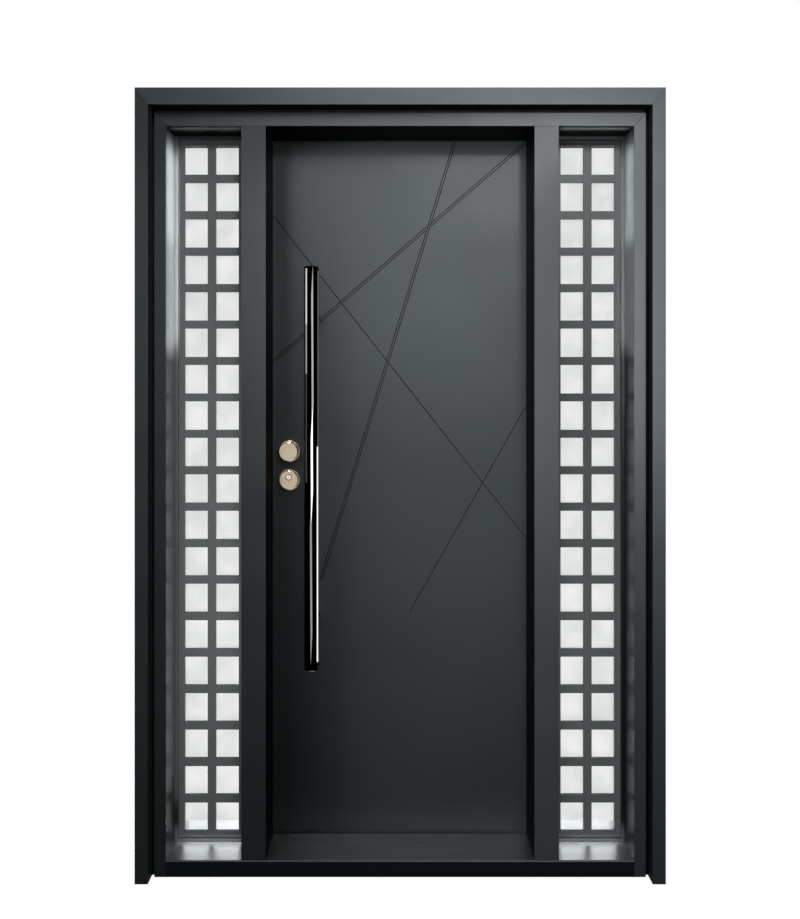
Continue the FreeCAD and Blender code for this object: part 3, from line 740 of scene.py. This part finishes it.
def mitre_seams(proud=0.00002):
    """Filled seams along the mitres of the casing and of the inner frame."""
    runs = (
        (REVEAL_SIDE, REVEAL_TOP, FACE_SIDE, FACE_TOP, FRONT - proud, 0.0005),
        (CASING_SIDE, CASING_UNDER, UNIT_SIDE, UNIT_TOP, CASING[0].y - proud, 0.00025),
    )
    verts, faces = [], []
    for inner_x, inner_z, outer_x, outer_z, front, half in runs:
        slope = Vector((outer_x - inner_x, outer_z - inner_z)).normalized()
        across = Vector((-slope.y, slope.x)) * half
        for side in (-1, 1):
            start = len(verts)
            for x, z in ((inner_x, inner_z), (outer_x, outer_z)):
                x, z = x - slope.x * half * (x == outer_x), z - slope.y * half * (x == outer_x)
                verts.append((side * (x + across.x), front, z + across.y))
                verts.append((side * (x - across.x), front, z - across.y))
            faces.append((start, start + 1, start + 3, start + 2))
    mesh = bpy.data.meshes.new("mitre_seams")
    mesh.from_pydata(verts, [], faces)
    mesh.update()
    link("mitre_seam_lines", mesh, "frame", "frame_paint", GROOVE_SHADE_AND_SEAM_COAT)


def sill_nose(tall=0.0022, proud=0.0001):
    """A pale strip along the sill's front edge, right across the unit: a painted highlight."""
    low, high = THRESHOLD
    edge = ((low.x, FRONT - proud, high.z - tall), (high.x, FRONT + 0.001, high.z + 0.00005))
    link("sill_nose_highlight_strip", slab_mesh("sill_nose", [edge]), "frame", "frame_paint", NOSE_HIGHLIGHT_COAT)


# Glazing

def glazing_unit(side):
    """Two thin panes, a metal spacer between them and a rubber seal behind."""
    low, high = box_of("sidelight_glass_" + side)
    pane = 0.004
    panes = slab_mesh(
        "panes_" + side,
        [
            (low, (high.x, low.y + pane, high.z)),
            ((low.x, high.y - pane, low.z), high),
        ],
        0.0004,
    )
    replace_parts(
        link("sidelight_panes_" + side, panes, "frame", "glass"), "sidelight_glass_" + side
    )
    edge = (low.x + 0.001, high.x - 0.001, low.z + 0.001, high.z - 0.001)
    spacer = ring_mesh("spacer_" + side, [(*edge, low.y + pane, high.y - pane, 0.009)])
    link("glass_spacer_" + side, spacer, "frame", "bright_steel")
    seal = ring_mesh("seal_" + side, [(*edge, high.y - 0.0001, high.y + 0.0006, 0.013)])
    link("glass_seal_" + side, seal, "frame", "seal_rubber")


# Small fasteners

def screw_heads(name, places, axis, body, slot, radius=0.0042):
    """Countersunk heads with a cross recess."""

    def cross(turn):
        arm = max(abs(math.cos(turn)), abs(math.sin(turn)))
        return radius * (0.62 if arm > 0.94 else 0.22)

    rings = [
        (cross, -0.0012),
        (cross, 0.0004),
        (radius * 0.86, 0.0004),
        (radius, 0.0001),
        (radius, -0.0008),
    ]
    link(name, turned_mesh(name, rings, places, axis, 48), body, slot)


def plate_screws():
    """Screws of the lock's faceplate and strike plate."""
    low, high = box_of("lock_faceplate")
    spots = [(low.x, (low.y + high.y) / 2, z) for z in (low.z + 0.012, high.z - 0.012)]
    screw_heads("faceplate_screws", spots, "-x", "door_leaf", "bright_steel")
    low, high = box_of("strike_plate")
    spots = [(high.x, (low.y + high.y) / 2, z) for z in (low.z + 0.012, high.z - 0.012)]
    screw_heads("strike_screws", spots, "+x", "frame", "bright_steel")


def hinge_screws():
    """Two screws in each half of the three hinges."""
    frame_spots, leaf_spots = [], []
    back = BACK + HINGE_PLATE
    for place in ("low", "middle", "high"):
        for spots, node, edge in (
            (frame_spots, "hinge_frame_half_", 1),
            (leaf_spots, "hinge_leaf_half_", -1),
        ):
            low, high = box_of(node + place)
            x = high.x - 0.012 if edge > 0 else low.x + 0.012
            spots += [(x, back, low.z + 0.014), (x, back, high.z - 0.014)]
    screw_heads("hinge_frame_screws", frame_spots, "+y", "frame", "bright_steel")
    screw_heads("hinge_leaf_screws", leaf_spots, "+y", "door_leaf", "bright_steel")


# Stage, lights and camera

def stage_plane(name, centre, width, height, turn=(0, 0, 0)):
    """A flat, evenly pale stage surface."""
    material, tree, shader, add = nodes_of(name)
    shader.inputs["Base Color"].default_value = (0.05, 0.05, 0.05, 1)
    shader.inputs["Roughness"].default_value = 0.9
    shader.inputs["Specular IOR Level"].default_value = 0.0
    shader.inputs["Emission Color"].default_value = (1, 1, 1, 1)
    shader.inputs["Emission Strength"].default_value = 1.0
    bpy.ops.mesh.primitive_plane_add(size=1, location=centre, rotation=turn)
    plane = bpy.context.object
    plane.name = name
    plane.scale = (width, height, 1)
    plane.data.materials.append(material)
    return plane


def softbox(name, stand, power, receivers, lean=0.0, tint=(1, 1, 1)):
    """A rectangular light on its stand that lights the pieces of a collection.

    A stand may end with the beam's angle in degrees.
    """
    place, aim, width, height, *beam = stand
    data = bpy.data.lights.new(name, "AREA")
    data.shape = "RECTANGLE"
    data.size, data.size_y = width, height
    data.energy = power
    data.color = tint
    if beam:
        data.spread = math.radians(beam[0])
    lamp = bpy.data.objects.new(name, data)
    scene.collection.objects.link(lamp)
    lamp.location = place
    turn = (Vector(aim) - Vector(place)).to_track_quat("-Z", "Y").to_matrix().to_4x4()
    lamp.rotation_euler = (turn @ Matrix.Rotation(lean, 4, "Z")).to_euler()
    lamp.visible_camera = False
    lamp.visible_transmission = False
    lamp.light_linking.receiver_collection = receivers


def pieces_that_start(words, taken):
    """A collection of the object's pieces, not taken yet, whose name starts with a word."""
    found = bpy.data.collections.new("lit")
    for obj in scene.objects:
        if obj.type == "MESH" and obj.name not in taken and obj.name not in STAGE_NAMES:
            if obj.name.startswith(words):
                found.objects.link(obj)
                taken.add(obj.name)
    return found


def light_the_scene():
    """White surround that only shows, and every lamp with the pieces that it lights."""
    world = bpy.data.worlds.new("surround")
    scene.world = world
    world.use_nodes = True
    world.node_tree.nodes["Background"].inputs["Color"].default_value = (1, 1, 1, 1)
    world.node_tree.nodes["Background"].inputs["Strength"].default_value = 1.0
    world.cycles_visibility.diffuse = False
    world.cycles_visibility.glossy = False
    world.cycles_visibility.scatter = False
    taken = set()
    for group, (words, balance) in BALANCE.items():
        lit = pieces_that_start(words, taken)
        for stand, power in balance.items():
            softbox(group + "_" + stand, STANDS[stand], power, lit, tint=COOL)
    close = {}
    for name, words, stand, power, *lean in CLOSE_LIGHTS:
        if words not in close:
            close[words] = pieces_that_start(words, set())
        softbox(name, stand, power, close[words], *lean)


def place_camera():
    """Straight on, at eye height, with the picture shifted down to take in the sill."""
    data = bpy.data.cameras.new("view")
    camera = bpy.data.objects.new("view", data)
    scene.collection.objects.link(camera)
    camera.location = (CAMERA_X, FRONT - CAMERA_DISTANCE, EYE_HEIGHT)
    camera.rotation_euler = (math.radians(90), 0, 0)
    data.sensor_width = SENSOR
    data.lens = SENSOR * FOCAL_PIXELS / PICTURE_HEIGHT
    data.shift_x = (PICTURE_WIDTH / 2 - VANISHING_X) / PICTURE_HEIGHT
    data.shift_y = (VANISHING_Y - PICTURE_HEIGHT / 2) / PICTURE_HEIGHT
    data.clip_end = 60
    scene.camera = camera


def line_strip(share, away, z, width, height):
    """A strip whose mirror image is an upright line on the pull bar as the camera sees it.

    The line lies at a share of the bar's radius from its middle, left below zero.
    """
    view = math.atan2(CAMERA_X - BAR_X, BAR_Y - FRONT + CAMERA_DISTANCE)
    normal = view + math.asin(share)
    bearing = view + 2 * math.asin(share)
    radius = (PULL[1].x - PULL[0].x) / 2
    point = (BAR_X + radius * math.sin(normal), BAR_Y - radius * math.cos(normal), z)
    place = (point[0] + away * math.sin(bearing), point[1] - away * math.cos(bearing), z)
    return place, point, width, height


def pane_strip(side, column, tall, width=0.078):
    """A strip in front of a column of panes, which the sill mirrors."""
    low, high = box_of("sidelight_lattice_" + side)
    across = low.x + (high.x - low.x) * (0.29 if column == "left" else 0.71)
    front = low.y - 0.002
    rise = THRESHOLD[1].z + 0.004 + tall / 2
    return (across, front, rise), (across, front - 1, rise), width, tall


def rear_strip(side, width=0.20, tall=0.30):
    """A strip behind the glazing, which the rear of the sill mirrors."""
    low, high = box_of("sidelight_lattice_" + side)
    across = (low.x + high.x) / 2
    rise = THRESHOLD[1].z + 0.005 + tall / 2
    return (across, BACK + 0.02, rise), (across, 0, rise), width, tall


def reveal_strip(side, foot, top, reach=0.462, deep=-0.07, width=0.09, beam=28):
    """A strip in a sidelight's opening, turned to the reveal that it lights."""
    across = -reach if side == "left" else reach
    rise = (foot + top) / 2
    return (across, deep, rise), (2 * across, deep, rise), width, top - foot, beam


def bead_strip(side, foot, top):
    """A strip close in front of the outer bar of a sidelight's bead."""
    low, high = box_of("sidelight_bead_" + side)
    across = low.x + 0.007 if side == "left" else high.x - 0.007
    shift = 0.024 if side == "left" else -0.024
    rise = (foot + top) / 2
    return (across + shift, low.y - 0.085, rise), (across, low.y, rise), 0.03, top - foot, 70


def foot_strip(side):
    """A strip close in front of the lowest bar of a sidelight's bead."""
    low, high = box_of("sidelight_bead_" + side)
    across = (low.x + high.x) / 2
    return (across, low.y - 0.085, 0.09), (across, low.y, 0.054), 0.19, 0.03, 70


def soffit_strip(side, reach=0.563, deep=-0.095):
    """A strip under the head of a sidelight's opening, pointing up."""
    across = -reach if side == "left" else reach
    return (across, deep, 2.0), (across, deep, 3.0), 0.19, 0.012, 16


def sill_lights():
    """Strips at the panes' feet, which the sill mirrors as two bright columns a side."""
    lights = []
    for side, power, foot_power in (("left", 0.0165, 0.0058), ("right", 0.0148, 0.0056)):
        for ending, tall, watts in (("", 0.26, power), ("_foot", 0.035, foot_power)):
            for order, column in (("first", "left"), ("second", "right")):
                name = "sill_" + side + "_" + order + ending
                lights.append((name, SILL_WORDS, pane_strip(side, column, tall), watts))
    return tuple(lights)


# Stage surfaces, which no light is kept to
STAGE_NAMES = ("floor", "backdrop")

# Where each studio light stands: place, aim, width, height and sometimes the beam's angle
STANDS = {
    "key": ((0.55, -1.5, 2.5), (0.0, FRONT, 1.3), 0.08, 0.08),
    "high_front": ((0.45, -3.0, 3.0), (0.0, FRONT, 1.3), 0.6, 0.6),
    "upper_right": ((1.3, -1.6, 2.6), (0.2, FRONT, 1.3), 0.8, 0.8),
    "upper_left": ((-1.3, -1.6, 2.6), (-0.2, FRONT, 1.3), 1.3, 1.3),
    "left": ((-2.4, -2.2, 1.8), (-0.2, FRONT, 1.5), 1.2, 1.2),
    "overhead": ((0.0, -2.0, 3.6), (0.0, FRONT, 1.3), 1.2, 1.2),
    "far": ((0.9, -4.5, 1.6), (0.0, FRONT, 1.3), 1.6, 1.6),
    "far_beam": ((0.9, -4.5, 2.1), (0.9, FRONT, 2.1), 1.6, 1.6, 63),
    "foot": ((0.0, -1.6, 0.25), (0.0, FRONT, 0.5), 1.2, 0.3),
    "low_centre": ((0.33, -1.8, 0.5), (0.19, FRONT, 0.85), 0.5, 0.5),
    "waist_right": ((1.2, -1.8, 1.35), (0.7, FRONT, 1.3), 0.4, 0.4),
    "far_low": ((-0.8, -4.0, 1.0), (0.0, FRONT, 1.3), 1.6, 1.6),
    "right_edge": ((2.4, -1.0, 1.3), (0.2, FRONT, 1.2), 0.5, 2.4),
    "left_edge": ((-2.4, -1.0, 1.65), (-0.2, FRONT, 1.5), 1.4, 2.2),
    "side_left": ((-3.0, -0.8, 2.3), (-0.4, FRONT, 1.9), 0.5, 0.8),
    "middle": ((0.3, -1.6, 1.7), (0.1, FRONT, 1.6), 0.5, 0.5),
    "middle_right": ((0.95, -1.8, 2.0), (0.2, FRONT, 1.5), 0.5, 0.9),
    "middle_left": ((-0.35, -2.0, 2.2), (0.0, FRONT, 1.5), 0.6, 0.6),
}

# Each group of pieces, by the start of their names, and its share of the lights in watts
LOCK_WORDS = ("escutcheon", "key_plug")
EVERY_PIECE = ("",)
SILL_WORDS = ("threshold",)
HEAD_WORDS = ("frame_head",)
LEFT_REVEAL = ("jamb_left", "sidelight_bead_left")
RIGHT_REVEAL = ("jamb_right", "sidelight_bead_right")
LEFT_BEAD = LEFT_REVEAL[1:]
RIGHT_BEAD = RIGHT_REVEAL[1:]
HANDLE_WORDS = ("pull_handle",)
BALANCE = {
    "handle": (HANDLE_WORDS + LOCK_WORDS, {}),
    "leaf": (
        ("leaf", "door_seal", "lock_"),
        {
            "key": 5.1,
            "high_front": 15.2,
            "upper_left": 48.0,
            "left": 24.6,
            "far_beam": 3.6,
            "low_centre": 1.6,
            "left_edge": 150.0,
            "middle": 2.1,
        },
    ),
    "left": (
        ("mullion_left", "jamb_left", "architrave_left", "strike"),
        {"far": 45.0, "side_left": 50.0, "middle": 14.9, "middle_left": 7.7},
    ),
    "post": (
        ("mullion_right",),
        {
            "key": 10.9,
            "far": 39.6,
            "right_edge": 54.0,
            "far_low": 72.0,
            "middle": 2.1,
        },
    ),
    "right": (
        ("jamb_right", "architrave_right"),
        {"key": 25.6, "middle": 52.0, "middle_right": 1.6, "waist_right": 3.8},
    ),
    "head": (
        ("frame_head", "architrave_head", "mitre", "groove"),
        {
            "key": 3.4,
            "upper_right": 2.5,
            "overhead": 52.0,
            "side_left": 48.0,
            "middle_right": 30.8,
        },
    ),
    "sill": (SILL_WORDS, {"far": 30.0, "upper_left": 5.0}),
    "lattice": (
        ("sidelight_lattice",),
        {"high_front": 60.0, "far_low": 36.0, "foot": 13.0},
    ),
    "panes": (("sidelight_panes", "sidelight_glass"), {}),
    "rest": (EVERY_PIECE, {"far": 55.0, "upper_left": 8.0, "upper_right": 5.0}),
}
COOL = (0.93, 0.985, 1.0)

# Lights with their own pieces: name, pieces, stand, power and sometimes a lean
ROUND_LIGHTS = (
    ("room", EVERY_PIECE, ((0.0, 3.0, 3.3), (0.0, BACK, 1.1), 1.6, 1.6), 90.0),
    ("beside_right", EVERY_PIECE, ((4.0, 0.7, 1.9), (0.75, 0.1, 1.1), 1.6, 1.8), 150.0),
    ("beside_left", EVERY_PIECE, ((-4.0, 0.7, 1.9), (-0.75, 0.1, 1.1), 1.6, 1.8), 150.0),
    ("above", EVERY_PIECE, ((0.0, 0.9, 5.0), (0.0, 0.1, 2.2), 1.6, 1.2), 110.0),
)

# Strips that draw the upright lines on the pull bar
BAR_LEAN = 0.29
BAR_FOOT = ((BAR_X, BAR_Y, PULL[0].z - 0.06), (BAR_X, BAR_Y, 1.0), 0.05, 0.05)
BAR_LIGHTS = (
    ("bar_front_high", HANDLE_WORDS, line_strip(0.095, 1.0, 1.617, 0.48, 0.665), 1.3, BAR_LEAN),
    ("bar_front_middle", HANDLE_WORDS, line_strip(0.02, 1.0, 1.084, 0.52, 0.40), 2.9, BAR_LEAN),
    ("bar_front_low", HANDLE_WORDS, line_strip(-0.075, 1.0, 0.552, 0.48, 0.664), 0.9, BAR_LEAN),
    ("bar_left_high", HANDLE_WORDS, line_strip(-0.716, 0.045, 1.68, 0.027, 0.17), 0.030),
    ("bar_left_middle", HANDLE_WORDS, line_strip(-0.716, 0.045, 1.52, 0.027, 0.15), 0.012),
    ("bar_left_low", HANDLE_WORDS, line_strip(-0.716, 0.045, 1.28, 0.027, 0.33), 0.004),
    ("bar_right_high", HANDLE_WORDS, line_strip(0.85, 0.035, 1.49, 0.022, 0.53), 0.011),
    ("bar_right_low", HANDLE_WORDS, line_strip(0.77, 0.035, 0.90, 0.026, 0.65), 0.15),
    ("bar_foot", HANDLE_WORDS, BAR_FOOT, 0.024),
)

LOCKS = (-0.336, 0, 1.17)
LOCK_LIGHTS = (
    ("lock_front", LOCK_WORDS, ((-0.66, -2.7, 1.02), LOCKS, 1.1, 1.1), 3.4),
    ("lock_left", LOCK_WORDS, ((-1.34, -0.8, 2.17), LOCKS, 0.7, 0.7), 14.0),
    ("lock_right", LOCK_WORDS, ((0.66, -0.8, 2.17), LOCKS, 0.7, 0.7), 17.0),
    ("lock_low", LOCK_WORDS, ((-0.34, -0.8, 0.25), LOCKS, 1.6, 0.5), 7.0),
    ("lock_side_left", LOCK_WORDS, ((-1.3, -0.6, 1.0), LOCKS, 0.6, 1.0), 4.0),
    ("lock_side_right", LOCK_WORDS, ((0.6, -0.6, 0.9), LOCKS, 0.6, 1.0), 3.0),
    ("lock_top", LOCK_WORDS, ((-0.336, -0.42, 2.1), (-0.336, 0.04, 1.15), 0.3, 0.2), 14.0),
)

REVEAL_LIGHTS = (
    ("reveal_left_high", LEFT_REVEAL, reveal_strip("left", 1.83, 2.105), 1.6),
    ("reveal_left_middle", LEFT_REVEAL, reveal_strip("left", 1.51, 1.83), 1.1),
    ("reveal_left_low", LEFT_REVEAL, reveal_strip("left", 0.25, 1.51), 0.48),
    ("reveal_right_high", RIGHT_REVEAL, reveal_strip("right", 1.83, 2.105), 0.85),
    ("reveal_right_middle", RIGHT_REVEAL, reveal_strip("right", 1.51, 1.83), 0.22),
    ("bead_left_high", LEFT_BEAD, bead_strip("left", 1.53, 2.10), 0.85),
    ("bead_left_low", LEFT_BEAD, bead_strip("left", 0.16, 1.53), 0.26),
    ("bead_right_high", RIGHT_BEAD, bead_strip("right", 1.53, 2.10), 0.26),
    ("bead_left_foot", LEFT_BEAD, foot_strip("left"), 0.20),
    ("bead_right_foot", RIGHT_BEAD, foot_strip("right"), 0.17),
    ("soffit_left", HEAD_WORDS, soffit_strip("left"), 0.26),
    ("soffit_right", HEAD_WORDS, soffit_strip("right"), 0.45),
)

SILL_LIGHTS = sill_lights() + (
    ("sill_left_rear", SILL_WORDS, rear_strip("left"), 0.17),
    ("sill_right_rear", SILL_WORDS, rear_strip("right"), 0.13),
    ("sill_nose", SILL_WORDS, ((0.0, -1.2, 2.2), (0.0, FRONT, 0.05), 2.4, 0.15), 3.2),
)
CLOSE_LIGHTS = ROUND_LIGHTS + BAR_LIGHTS + LOCK_LIGHTS + REVEAL_LIGHTS + SILL_LIGHTS

scene.view_settings.view_transform = "Standard"
scene.view_settings.look = "None"

dress_solids()
bpy.data.objects["threshold"].visible_diffuse = False
lock_guard("escutcheon_upper")
lock_guard("escutcheon_lower", "key_plug")
key_face()
pull_bar()
inner_rosettes()
inner_lever()
inner_thumbturn()
engraved_lines()
groove_shade_lining()
mitre_seams()
sill_nose()
glazing_unit("left")
glazing_unit("right")
plate_screws()
hinge_screws()
floor = stage_plane("floor", (0, 0, 0), 30, 30)
floor.visible_diffuse = False
floor.visible_glossy = False
stage_plane("backdrop", (0, 6, 0), 30, 24, (math.radians(90), 0, 0))
light_the_scene()
place_camera()
